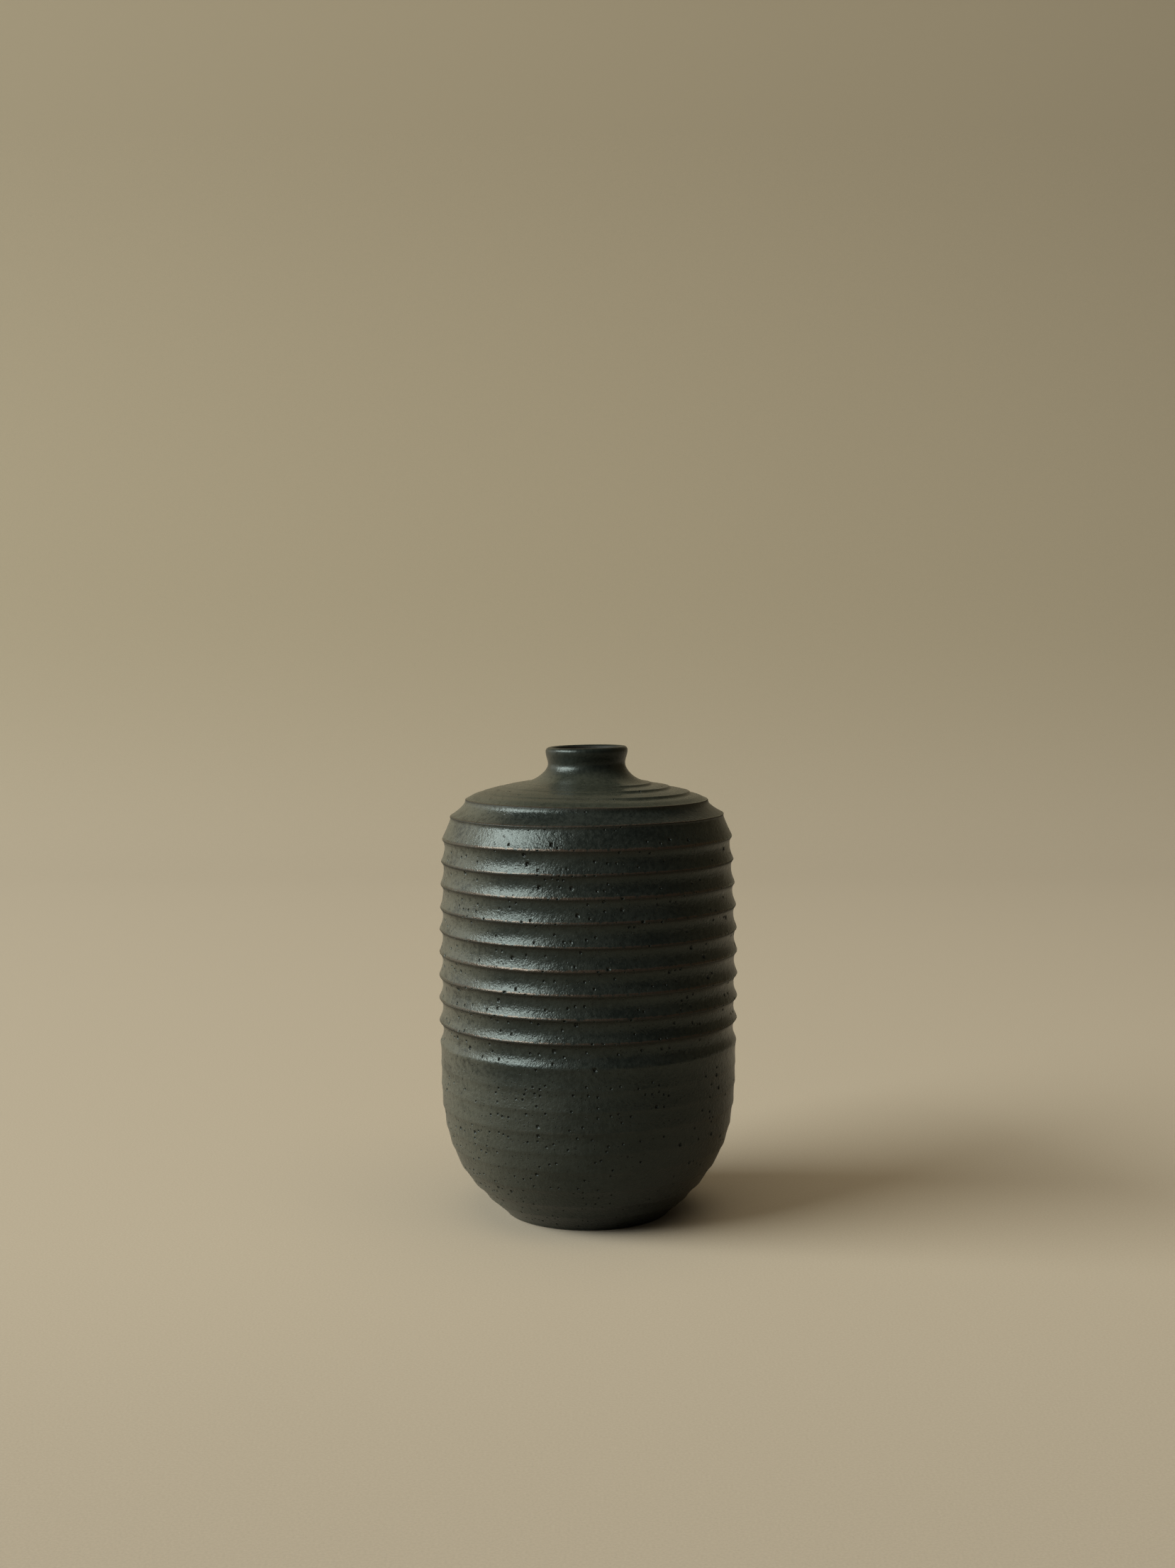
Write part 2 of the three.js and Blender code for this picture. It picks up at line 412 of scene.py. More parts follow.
    def lip(self) -> np.ndarray:
        """Lip that swells softly out of the neck and rounds over the rim into the throat.

        Returns:
            Radii and heights.
        """
        share = np.linspace(0, 1, 16)[1:]
        swell = self.neck_radius + self.lip_proud * rise(share, 0.0, 1.0)
        height = self.waist + (self.lip_height - self.waist) * share
        turn = np.linspace(0, math.pi, 30)[1:]
        over = swell[-1] - self.lip_half * (1 - np.cos(turn))
        top = self.lip_height + self.lip_rise * np.sin(turn)
        return np.stack([np.concatenate([swell, over]), np.concatenate([height, top])])

    def inner_line(self) -> np.ndarray:
        """Radius and height of the clay's inner face: the smooth outside set in by the wall.

        Returns:
            Radii and heights from the floor up.
        """
        bowl = [(self.bowl_line(h), h) for h in np.linspace(5.0, self.bowl_height, 18)]
        body = [(self.crest_line(h), h) for h in np.linspace(self.first_crest + 6, self.top_crest, 8)]
        shoulder = [(edge.radius, edge.height) for edge in self.edges[:-1]]
        neck = np.stack(self.neck()[:2])[:, ::20]
        wall = inset(np.concatenate([np.array(bowl + body + shoulder).T, neck], axis=1), self.wall)
        wall = wall[:, wall[0] > self.throat]
        corner = np.array([[wall[0, 0] - self.corner], [self.floor]])
        rim = self.neck_radius + self.lip_proud - 2 * self.lip_half
        throat = np.array([[self.throat, self.throat, rim], [*self.throat_ends, self.lip_height]])
        return np.concatenate([corner, wall[:, wall[1] < self.throat_ends[0] - 0.2], throat], axis=1)

    def wall_inside(self, height: np.ndarray) -> np.ndarray:
        """Radius of the clay's inner face at some heights."""
        radius, at = self.inner_line()
        return np.interp(height, at, radius)


@dataclass(frozen=True)
class Throwing:
    """What the hand left uneven: tilted ribs, a slight lean, soft waves and a rough skin.

    Attributes:
        tilt: slope of the ribs.
        lip_tilt: slope of the lip.
        lip_hinge: how far to the right the lip's slope turns, in millimetres.
        foot_off: how far left of the axis the foot stands.
        neck_off: how far left of the axis the neck stands.
        above_foot: heights over which the unevenness sets in.
        below_neck: heights over which it ends.
        wave: height of the slow waves.
        ripple: height of the shorter waves.
        swing: how far the slow waves draw the wall in.
        roughness: depth of the rough skin.
        terraces: radii of the shoulder's terraces.
        drop: how far a terrace drops towards the next riser.
        faint_drop: share of the drop that is left away from the deepest side.
        top: height that nothing passes.
    """

    tilt: float = math.radians(0.48)
    lip_tilt: float = math.radians(1.2)
    lip_hinge: float = 15.7
    foot_off: float = 0.19
    neck_off: float = 0.69
    above_foot: tuple[float, float] = (0.0, 22.0)
    below_neck: tuple[float, float] = (160.5, 151.5)
    wave: float = 0.28
    ripple: float = 0.1
    swing: float = 0.05
    roughness: float = 0.03
    terraces: tuple[float, ...] = tuple(edge.radius for edge in reversed(SHOULDER_EDGES[1:]))
    drop: float = 0.6
    faint_drop: float = 0.12
    top: float = 179.99
    slow: Grain = Grain(6, 9.0, 11)
    middle: Grain = Grain(26, 8.7, 12)
    skin: Grain = Grain(200, 1.8, 14)

    def step(self, radius: np.ndarray, height: np.ndarray, angle: np.ndarray) -> np.ndarray:
        """How far the shoulder's terraces drop towards the next riser, deepest on the right.

        Args:
            radius: radii of the turned form.
            height: heights of the turned form.
            angle: angles round the axis.

        Returns:
            Drops in millimetres.
        """
        edges = np.array(self.terraces)
        on = (radius > edges[0]) & (radius < edges[-1]) & (height > 158.0)
        rank = np.clip(np.searchsorted(edges, radius) - 1, 0, len(edges) - 2)
        share = (edges[rank + 1] - radius) / (edges[rank + 1] - edges[rank])
        right = rise(np.cos(angle + math.radians(20)), 0.42, 0.76)
        side = self.faint_drop + (1 - self.faint_drop) * right
        return np.where(on, self.drop * side * np.interp(share, (0.0, 0.94, 1.0), (0.0, 1.0, 0.0)), 0.0)

    def settle(
        self, radius: np.ndarray, height: np.ndarray, angle: np.ndarray, rough: np.ndarray
    ) -> np.ndarray:
        """Places points of the turned form with the hand's unevenness.

        Args:
            radius: radii of the turned form.
            height: heights of the turned form.
            angle: angles round the axis.
            rough: 0 where the form stays exact, 1 where the skin is rough.

        Returns:
            Points in metres.
        """
        hold = rise(height, *self.above_foot) * rise(height, *self.below_neck)
        lift = radius * np.cos(angle) * math.tan(self.tilt) * hold
        lift = lift + self.slow.sample(angle, height) * self.wave * hold
        lift = lift + self.middle.sample(angle, height) * self.ripple * hold
        lift = lift - self.step(radius, height, angle)
        skin = rough * self.roughness * (1 + self.skin.sample(angle, height))
        out = radius - skin - hold * self.swing * (1 + self.slow.sample(angle, height + 70))
        side = out * np.cos(angle) - self.lip_hinge
        lean = side * math.tan(self.lip_tilt) * rise(height, 168.5, 175.5)
        high = np.clip(height + lift + lean, 0.0, self.top)
        sway = self.foot_off * (1 - rise(height, 0.0, 50.0)) + self.neck_off * rise(height, 95.0, 170.0)
        return np.stack([out * np.cos(angle) - sway, out * np.sin(angle), high], axis=-1) * MM

    def turn(self, rows: np.ndarray, columns: int, rough: float | np.ndarray = 0.0) -> np.ndarray:
        """Turns a line round the axis and settles it.

        Args:
            rows: radius and height of each row.
            columns: points in one turn.
            rough: roughness of the skin, one for all rows or one for each.

        Returns:
            Grid of points in metres.
        """
        angle = np.linspace(0, 2 * math.pi, columns, endpoint=False)
        grids = np.broadcast_arrays(rows[0][:, None], rows[1][:, None], angle)
        return self.settle(*grids, np.reshape(rough, (-1, 1)))


@dataclass
class Skin:
    """Grid of points round the vase, with rows from low to high, that takes real pits.

    Attributes:
        points: grid of points in metres.
        rings: rings of a pit, each with its share of the reach, share of the depth and pit mark, the
            strength of the painted shade in the pit.
        stray: how far a ring strays from round.
        margin: rows above and below that stay whole.
        taken: cells that pits have taken.
        pit_points: points that the pits added.
        pit_marks: pit marks of these points.
        faces: faces of the pits.
        count: number of the points that the pits added.
    """

    points: np.ndarray
    rings: tuple[Triple, ...] = ((0.84, -0.05, 0.1), (0.72, 0.3, 0.75), (0.42, 0.9, 1.0))
    stray: float = 0.15
    margin: int = 3
    taken: np.ndarray = field(init=False)
    pit_points: list[np.ndarray] = field(default_factory=list)
    pit_marks: list[np.ndarray] = field(default_factory=list)
    faces: list[np.ndarray] = field(default_factory=list)
    count: int = 0

    def __post_init__(self) -> None:
        """Starts with no cell given to a pit."""
        self.taken = np.zeros((self.points.shape[0] - 1, self.points.shape[1]), bool)

    def index(self, row: np.ndarray, column: np.ndarray) -> np.ndarray:
        """Number of a grid point."""
        return row * self.points.shape[1] + column % self.points.shape[1]

    def free(self, row: int, column: int, cells: int) -> bool:
        """Whether a pit's cells and those round them are whole, and clear of both ends.

        Args:
            row: lowest row of the pit's cells.
            column: first column of the pit's cells.
            cells: cells across.

        Returns:
            True if the pit has room.
        """
        rows, columns = self.points.shape[:2]
        if row < self.margin or row + cells > rows - 1 - self.margin:
            return False
        near = np.arange(column - 1, column + cells + 1) % columns
        return not self.taken[row - 1 : row + cells + 1][:, near].any()

    def hollow(self, edge: np.ndarray, cells: int, depth: float, phase: float) -> np.ndarray:
        """Points of a pit.

        Args:
            edge: points round the pit's cells, from the first corner on.
            cells: cells across.
            depth: depth in metres.
            phase: where its rings stray outwards.

        Returns:
            Points of its rings, and last its bottom.
        """
        middle = edge.mean(axis=0)
        across, up = edge[cells] - edge[0], edge[3 * cells] - edge[0]
        out = np.cross(across, up)
        out /= np.linalg.norm(out)
        spread = edge - middle
        spread -= np.outer(spread @ out, out)
        ray = spread / np.linalg.norm(spread, axis=1)[:, None]
        reach = min(np.linalg.norm(across), np.linalg.norm(up)) / 2
        reach = reach * (1 + self.stray * np.cos(np.arange(len(edge)) * 2.4 + phase))[:, None]
        rings = [middle + ray * reach * share - out * depth * sink for share, sink, _ in self.rings]
        return np.concatenate([*rings, [middle - out * depth]])

    def pit(self, row: int, column: int, cells: int, depth: float) -> bool:
        """Sinks one pit into the grid, if its cells are free.

        Args:
            row: lowest row of the pit's cells.
            column: first column of the pit's cells.
            cells: cells across.
            depth: depth in metres.

        Returns:
            True if the pit was made.
        """
        if not self.free(row, column, cells):
            return False
        columns = self.points.shape[1]
        self.taken[row : row + cells][:, np.arange(column, column + cells) % columns] = True
        rim = [(row, column + k) for k in range(cells)]
        rim += [(row + k, column + cells) for k in range(cells)]
        rim += [(row + cells, column + cells - k) for k in range(cells)]
        rim += [(row + cells - k, column) for k in range(cells)]
        rows, around = np.array(rim).T
        hollow = self.hollow(self.points[rows, around % columns], cells, depth, column)
        first = self.points.shape[0] * columns + self.count
        loops = [self.index(rows, around)]
        loops += [first + k * len(rim) + np.arange(len(rim)) for k in range(len(self.rings))]
        loops += [np.full(len(rim), first + len(hollow) - 1)]
        self.faces += [band(outer, inner) for outer, inner in zip(loops, loops[1:])]
        self.pit_points.append(hollow)
        self.pit_marks.append(np.append(np.repeat([mark for _, _, mark in self.rings], len(rim)), 1.0))
        self.count += len(hollow)
        return True


def solid(
    name: str, verts: np.ndarray, quads: np.ndarray, marks: np.ndarray, sharp: list[np.ndarray]
) -> bpy.types.Object:
    """Makes a smooth-shaded mesh object with its crest, root and pit marks.

    Args:
        name: name of the object.
        verts: points in metres.
        quads: faces of four points; a face of three repeats its last point.
        marks: crest, root and pit mark of each point.
        sharp: closed loops of points along which the shading breaks.

    Returns:
        The linked object.
    """
    used = np.unique(quads)
    number = np.full(len(verts), -1)
    number[used] = np.arange(len(used))
    verts, marks, quads = verts[used], marks[:, used], number[quads]
    three = quads[:, 2] == quads[:, 3]
    keep = np.ones(quads.shape, bool)
    keep[three, 3] = False
    mesh = bpy.data.meshes.new(name)
    mesh.vertices.add(len(verts))
    mesh.vertices.foreach_set("co", verts.astype(np.float32).ravel())
    mesh.loops.add(int(keep.sum()))
    mesh.loops.foreach_set("vertex_index", quads[keep].astype(np.int32))
    mesh.polygons.add(len(quads))
    starts = np.concatenate([[0], np.cumsum(keep.sum(axis=1))[:-1]])
    mesh.polygons.foreach_set("loop_start", starts.astype(np.int32))
    mesh.update(calc_edges=True)
    mesh.validate()
    for label, values in zip(("crest", "root", "pit"), marks):
        mesh.attributes.new(label, "FLOAT", "POINT").data.foreach_set("value", values.astype(np.float32))
    mesh.shade_smooth()
    sharpen(mesh, [number[loop] for loop in sharp])
    piece = bpy.data.objects.new(name, mesh)
    bpy.context.scene.collection.objects.link(piece)
    return piece


def sharpen(mesh: bpy.types.Mesh, loops: list[np.ndarray]) -> None:
    """Breaks the shading along closed loops of points.

    Args:
        mesh: mesh that takes the mark.
        loops: numbers of the points, in order.
    """
    ends = np.zeros(len(mesh.edges) * 2, np.int32)
    mesh.edges.foreach_get("vertices", ends)
    ends = np.sort(ends.reshape(-1, 2), axis=1)
    keys = set()
    for loop in loops:
        pairs = np.sort(np.stack([loop, np.roll(loop, -1)], axis=1), axis=1)
        keys.update(map(tuple, pairs.tolist()))
    hard = np.array([tuple(pair) in keys for pair in ends.tolist()])
    mesh.attributes.new("sharp_edge", "BOOLEAN", "EDGE").data.foreach_set("value", hard)


def ring_solid(name: str, grid: np.ndarray) -> bpy.types.Object:
    """Closes a grid of rows and columns into a ring.

    Args:
        name: name of the object.
        grid: rows of points, the first following the last.

    Returns:
        The linked object.
    """
    rows, columns = grid.shape[:2]
    loops = [row * columns + np.arange(columns) for row in (*range(rows), 0)]
    quads = np.concatenate([band(low, high) for low, high in zip(loops, loops[1:])])
    return solid(name, grid.reshape(-1, 3), quads, np.zeros((3, rows * columns)), [])


@dataclass
class Piece:
    """A piece of the vase.

    Attributes:
        name: name of the piece.
        node: CAD node that it stands for.
        slot: material slot of the record; not used.
        outline: the vase's outline.
        hand: the hand's unevenness.
    """

    name: str
    node: str
    slot: str
    outline: Outline = field(default_factory=Outline, kw_only=True)
    hand: Throwing = field(default_factory=Throwing, kw_only=True)

    def dress(self, piece: bpy.types.Object, finish: bpy.types.Material) -> None:
        """Gives the piece its finish and ties it to the frame.

        Args:
            piece: the piece that build made.
            finish: its material.
        """
        piece.data.materials.append(finish)
        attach(piece, "root")
        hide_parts(self.node)


@dataclass
class Section(Piece):
    """A ring-shaped section of the vase, closed by its joint faces and its inner face.

    Attributes:
        low: lower end in millimetres.
        high: upper end in millimetres.
        step: spacing of the rows where the surface is calm.
        pits: number of pits.
        seed: seed of the pits.
        end_row: width of the narrow rows at the sharp ends, as a share of a row.
        lap: how far from a joint face the inner face starts.
        cover: thickness of the glaze that closes a joint.
        runs: lengths of the pits' level runs, each as likely as the others.
        pit_side: angle of the side with most pits, at the left front.
        crowding: chance that a spot takes a pit, and how much that changes round the vase.
        bare_mark: crest mark above which a spot takes no pit.
        foot_clear: lowest height of a pit.
    """

    low: float
    high: float
    step: float
    pits: int
    seed: int
    end_row: float = 0.15
    lap: float = 0.3
    cover: float = 0.12
    runs: tuple[int, ...] = (1, 1, 1, 2, 2, 3)
    pit_side: float = math.radians(-130)
    crowding: tuple[float, float] = (0.56, 0.44)
    bare_mark: float = 0.25
    foot_clear: float = 1.6

    def rows(self) -> np.ndarray:
        """Radius, height, crest mark and root mark of each row of the outside.

        Returns:
            A line of values for each of the four, from low to high.
        """
        track = self.outline.track
        ends = self.outline.at([self.low, self.high])
        inner = track[:, (track[1] > self.low) & (track[1] < self.high)]
        line = np.concatenate([ends[:, :1], inner, ends[:, 1:]], axis=1)
        walk = np.hypot(*np.diff(line[:2], axis=1))
        fine = np.clip(np.maximum(line[2], line[3])[1:] * 1.4, 0, 1)
        weight = 1.0 / (self.step * (1.0 - 0.5 * fine))
        way = np.concatenate([[0.0], np.cumsum(walk * weight)])
        spots = np.linspace(0, way[-1], int(way[-1]) + 2)
        spots = np.concatenate([[0.0, self.end_row], spots[1:-1], [way[-1] - self.end_row, way[-1]]])
        return np.stack([np.interp(spots, way, values) for values in line])

    def thin(self, outside: np.ndarray, height: float) -> float:
        """Radius just behind the thin skin of glaze that closes the joint at a height."""
        near = np.abs(outside[1] - height) < 0.4
        return float(outside[0][near].min()) - self.cover

    def upper_joint(self, outside: np.ndarray) -> np.ndarray:
        """Radius and height of the rows behind the skin at the upper joint."""
        return np.array([[self.thin(outside, self.high)] * 2, [self.high, self.high - self.lap]])

    def lower_joint(self, outside: np.ndarray) -> np.ndarray:
        """Radius and height of the rows behind the skin at the lower joint."""
        return np.array([[self.thin(outside, self.low)] * 2, [self.low + self.lap, self.low]])

    def back(self, outside: np.ndarray) -> np.ndarray:
        """Radius and height of the rows over the upper joint, the inside and the lower joint.

        Args:
            outside: rows of the outside.

        Returns:
            Radii and heights, from the upper end down.
        """
        count = max(4, int((self.high - self.low) / 5.0))
        height = np.linspace(self.high - self.lap, self.low + self.lap, count)
        inside = np.stack([self.outline.wall_inside(height), height])
        return np.concatenate([self.upper_joint(outside), inside, self.lower_joint(outside)], axis=1)

    def rough(self, height: np.ndarray) -> np.ndarray:
        """How rough the skin is at a height: smooth at the neck, rough on the wall."""
        return 0.25 + 0.75 * rise(height, 166.0, 158.0)

    def strew(self, skin: Skin, rows: np.ndarray) -> None:
        """Sinks pits into the skin, many of them in short level runs.

        Args:
            skin: grid that takes the pits.
            rows: radius, height, crest mark and root mark of its rows.
        """
        dice = np.random.default_rng(self.seed)
        sizes = list(PitSize)
        first, last = skin.margin, rows.shape[1] - 6
        made = 0
        for _ in range(self.pits * 9):
            if made >= self.pits:
                break
            row = int(dice.integers(first, last))
            column = int(dice.integers(0, COLUMNS))
            toward = math.cos(column / COLUMNS * 2 * math.pi - self.pit_side)
            plain = rows[2, row] < self.bare_mark and rows[1, row] > self.foot_clear
            if not plain or dice.uniform() > self.crowding[0] + self.crowding[1] * toward:
                continue
            for _ in range(int(dice.choice(self.runs))):
                size = sizes[int(dice.choice(len(sizes), p=[size.share for size in sizes]))]
                made += skin.pit(row, column, size.cells, size.depth * dice.uniform(0.7, 1.15) * MM)
                column += int(dice.integers(3, 8))
                row = int(np.clip(row + dice.integers(-1, 2), first, last))

    def build(self) -> bpy.types.Object:
        """Makes the section's mesh, with a pitted outside and a plain inside.

        Returns:
            The linked object.
        """
        rows = self.rows()
        skin = Skin(self.hand.turn(rows, COLUMNS, self.rough(rows[1])))
        self.strew(skin, rows)
        return self.join(skin, rows, self.hand.turn(self.back(rows), COLUMNS))

    def join(self, skin: Skin, rows: np.ndarray, behind: np.ndarray) -> bpy.types.Object:
        """Joins the pitted outside and the back rows into one closed mesh.

        Args:
            skin: outside with its pits.
            rows: radius, height, crest mark and root mark of the outside's rows.
            behind: grid of the back rows.

        Returns:
            The linked object.
        """
        outside = skin.points.reshape(-1, 3)
        count = len(outside) + skin.count
        verts = np.concatenate([outside, *skin.pit_points, behind.reshape(-1, 3)])
        row, column = np.nonzero(~skin.taken)
        corners = ((row, column), (row, column + 1), (row + 1, column + 1), (row + 1, column))
        cells = np.stack([skin.index(*corner) for corner in corners], axis=1)
        turn = np.arange(COLUMNS)
        chain = [turn + (skin.points.shape[0] - 1) * COLUMNS]
        chain += [count + k * COLUMNS + turn for k in range(behind.shape[0])]
        chain += [turn]
        bands = [band(low, high) for low, high in zip(chain, chain[1:])]
        marks = np.zeros((3, len(verts)))
        marks[:2, : len(outside)] = np.repeat(rows[2:], COLUMNS, axis=1)
        marks[2, len(outside) : count] = np.concatenate([[], *skin.pit_marks])
        return solid(self.name, verts, np.concatenate([cells, *skin.faces, *bands]), marks,
                     chain[:3] + chain[-3:])


@dataclass
class Bowl(Section):
    """Floor, foot and smooth lower wall.

    Attributes:
        corner: heights of the rows in the corner between wall and floor.
        floor_rings: radii of the rows on the floor.
        foot_rings: number of rows under the foot.
    """

    corner: tuple[float, ...] = (11.0, 9.0, 7.5, 6.8)
    floor_rings: tuple[float, ...] = (20.0, 10.0, 3.0)
    foot_rings: int = 8

    def rows(self) -> np.ndarray:
        """Rows of the outside, with the flat foot before them.

        Returns:
            Radii, heights, crest marks and root marks.
        """
        rows = super().rows()
        flat = np.zeros((4, self.foot_rings))
        flat[0] = np.linspace(0.0, rows[0, 0] - 0.6, self.foot_rings + 1)[1:]
        return np.concatenate([flat, rows], axis=1)

    def back(self, outside: np.ndarray) -> np.ndarray:
        """Rows over the joint, down the inside and across the floor.

        Args:
            outside: rows of the outside.

        Returns:
            Radii and heights.
        """
        level = self.outline.floor
        height = np.concatenate([np.linspace(self.high - self.lap, 14.6, 14), self.corner, [level]])
        inside = np.stack([self.outline.wall_inside(height), height])
        floor = np.array([self.floor_rings, [level] * len(self.floor_rings)])
        return np.concatenate([self.upper_joint(outside), inside, floor], axis=1)


@dataclass
class Collar(Section):
    """Neck with the rolled lip and the throat.

    Attributes:
        throat: heights of the throat's rows.
        shaded: share of the lip's rows after which the throat takes the full root mark, painted dark as
            the shade inside the mouth.
    """

    throat: tuple[float, ...] = (177.6, 176.8, 175.8, 174.8, 173.4, 172.0, 171.0, 170.0)
    shaded: float = 0.72

    def rows(self) -> np.ndarray:
        """Rows of the neck, then of the lip and the throat.

        Returns:
            Radii, heights, crest marks and root marks.
        """
        throat = np.array([self.outline.wall_inside(self.throat), self.throat])
        lip = np.concatenate([self.outline.lip(), throat], axis=1)
        # Painted shade: the inner lip and throat take the root mark, which darkens them.
        inside = np.linspace(0, 1, lip.shape[1]) > self.shaded
        return np.concatenate([super().rows(), [*lip, np.zeros(lip.shape[1]), inside]], axis=1)

    def back(self, outside: np.ndarray) -> np.ndarray:
        """Rows down the rest of the throat and over the lower joint.

        Args:
            outside: rows of the outside.

        Returns:
            Radii and heights.
        """
        height = np.array([self.outline.throat_ends[0], self.low + self.lap])
        inside = np.stack([self.outline.wall_inside(height), height])
        return np.concatenate([inside, self.lower_joint(outside)], axis=1)


@dataclass
class SlipSeam(Piece):
    """Thin ring of slip between two sections.

    Attributes:
        low: height of its underside in millimetres.
        thickness: thickness of the ring.
        behind: how far it lies behind the outside.
        clear: how far it stands off the clay's inner face.
        bevel: width and height of its bevels.
    """

    low: float
    thickness: float = 0.6
    behind: float = 0.3
    clear: float = 0.15
    bevel: tuple[float, float] = (0.2, 0.08)

    def build(self) -> bpy.types.Object:
        """Makes the ring's mesh.

        Returns:
            The linked object.
        """
        low, high = self.low, self.low + self.thickness
        ends = np.array([low, high])
        out = float(self.outline.at(ends)[0].min()) - self.behind
        inner = float(self.outline.wall_inside(ends).max()) + self.clear
        wide, tall = self.bevel
        radius = [out, out, out - wide, inner + wide, inner, inner, inner + wide, out - wide]
        height = [low + tall, high - tall, high, high, high - tall, low + tall, low, low]
        return ring_solid(self.name, self.hand.turn(np.array([radius, height]), COLUMNS // 2))


@dataclass
class Liner(Piece):
    """Coat of glaze over the floor and the wall inside.

    Attributes:
        gap: distance from the clay in millimetres.
        thickness: thickness of the coat.
        top: height of its upper edge.
        columns: points in one turn.
        floor_ends: radii between which the floor's rows lie.
        corner: how far above the floor the wall's rows start.
    """

    gap: float = 0.3
    thickness: float = 0.5
    top: float = 176.5
    columns: int = 192
    floor_ends: tuple[float, float] = (1.5, 27.0)
    corner: float = 0.6

    def coat(self, distance: float) -> np.ndarray:
        """Face of the coat.

        Args:
            distance: distance from the clay's inner face in millimetres.

        Returns:
            Radius and height of its rows, from the floor up.
        """
        height = np.concatenate([np.linspace(8.2, 150, 46), np.linspace(151.5, 175.6, 50)])
        wall = inset(np.stack([self.outline.wall_inside(height), height]), distance)
        level = self.outline.floor + distance
        floor = np.stack([np.linspace(*self.floor_ends, 7), np.full(7, level)])
        return np.concatenate([floor, wall[:, wall[1] > level + self.corner]], axis=1)

    def build(self) -> bpy.types.Object:
        """Makes the liner's mesh.

        Returns:
            The linked object.
        """
        radius = float(self.outline.wall_inside(self.top)) - self.gap - 0.05
        rim = np.array([[radius, radius - 0.15, radius - self.thickness],
                        [self.top - 0.1, self.top, self.top - 0.1]])
        outer, inner = self.coat(self.gap), self.coat(self.gap + self.thickness)
        line = np.concatenate([outer, rim, inner[:, ::-1]], axis=1)
        return ring_solid(self.name, self.hand.turn(line, self.columns))


class Nodes:
    """Short ways to add nodes to a node tree."""

    def __init__(self, tree: bpy.types.NodeTree) -> None:
        """Takes the tree that the nodes go into."""
        self.tree = tree

    def node(self, kind: str, feeds: dict | None = None, **settings: str) -> bpy.types.Node:
        """Adds a node.

        Args:
            kind: type of the node, without its prefix.
            feeds: what goes into its inputs: outputs of other nodes, colours or values.
            settings: properties of the node.

        Returns:
            The new node.
        """
        made = self.tree.nodes.new("ShaderNode" + kind)
        for name, value in settings.items():
            setattr(made, name, value)
        for name, source in (feeds or {}).items():
            self.link(source, made.inputs[name])
        return made

    def link(self, source: object, target: Socket) -> None:
        """Joins an output to an input, or writes a plain value or colour into it.

        Args:
            source: output, value or colour.
            target: input that takes it.
        """
        if isinstance(source, Socket):
            self.tree.links.new(source, target)
        elif target.type == "RGBA":
            target.default_value = (*source, 1.0)
        else:
            target.default_value = source

    def noise(self, place: Socket, scale: float, detail: float, rough: float) -> Socket:
        """Value of a noise."""
        feeds = {"Vector": place, "Scale": scale, "Detail": detail, "Roughness": rough}
        return self.node("TexNoise", feeds).outputs[0]

    def pores(self, place: Socket, scale: float, low: float, high: float) -> Socket:
        """Scattered pinholes: 0 in a pinhole, 1 outside it."""
        cells = self.node("TexVoronoi", {"Vector": place, "Scale": scale})
        return self.ramp(cells.outputs["Distance"], low, high)

    def facing(self, place: Socket, way: Triple, low: float, high: float) -> Socket:
        """Smooth step of how far a place round the axis lies towards a way.

        Args:
            place: coordinates of the place.
            way: level direction.
            low: cosine at which the step starts.
            high: cosine at which it ends.

        Returns:
            A value between 0 and 1.
        """
        flat = self.node("VectorMath", {0: place, 1: (1.0, 1.0, 0.0)}, operation="MULTIPLY")
        unit = self.node("VectorMath", {0: flat.outputs[0]}, operation="NORMALIZE")
        dot = self.node("VectorMath", {0: unit.outputs[0], 1: way}, operation="DOT_PRODUCT")
        return self.ramp(dot.outputs["Value"], low, high)

    def attribute(self, name: str) -> Socket:
        """One of the mesh's marks."""
        return self.node("Attribute", attribute_name=name).outputs["Fac"]

    def maths(self, kind: str, first: object, second: object) -> Socket:
        """Sum, product or the like of two values."""
        return self.node("Math", {0: first, 1: second}, operation=kind).outputs[0]

    def spread(self, value: Socket, low: float, high: float) -> Socket:
        """Stretches a 0 to 1 value over another range."""
        return self.node("MapRange", {"To Min": low, "To Max": high, "Value": value}).outputs["Result"]

    def ramp(self, value: Socket, low: float, high: float) -> Socket:
        """Smooth step between two values."""
        feeds = {"From Min": low, "From Max": high, "Value": value}
        return self.node("MapRange", feeds, interpolation_type="SMOOTHSTEP").outputs["Result"]

    def scaled(self, colour: Socket, share: Socket) -> Socket:
        """Multiplies a colour by a value."""
        return self.node("VectorMath", {0: colour, "Scale": share}, operation="SCALE").outputs[0]

    def mix_value(self, share: float, first: object, second: object) -> Socket:
        """Mixes two values."""
        return self.node("Mix", {0: share, 2: first, 3: second}).outputs[0]

    def mix_colour(self, share: object, first: object, second: object) -> Socket:
        """Mixes two colours."""
        return self.node("Mix", {0: share, 6: first, 7: second}, data_type="RGBA").outputs[2]


class Bench(Nodes):
    """A new material with its shader, and short ways to add nodes to it."""

    def __init__(self, name: str) -> None:
        """Makes an empty material with one shader."""
        self.material = bpy.data.materials.new(name)
        self.material.use_nodes = True
        super().__init__(self.material.node_tree)
        self.shader = self.tree.nodes["Principled BSDF"]

    def place(self) -> Socket:
        """Place on the piece, in metres."""
        return self.node("TexCoord").outputs["Object"]

    def bump(self, relief: Socket, strength: object, distance: float) -> Socket:
        """Normal of a fine relief."""
        feeds = {"Height": relief, "Strength": strength, "Distance": distance}
        return self.node("Bump", feeds).outputs["Normal"]

    def finish(self, feeds: dict[str, object]) -> bpy.types.Material:
        """Feeds the shader's inputs and hands the material over.

        Args:
            feeds: what goes into its inputs, by their names.

        Returns:
            The material.
        """
        for name, source in feeds.items():
            self.link(source, self.shader.inputs[name])
        return self.material


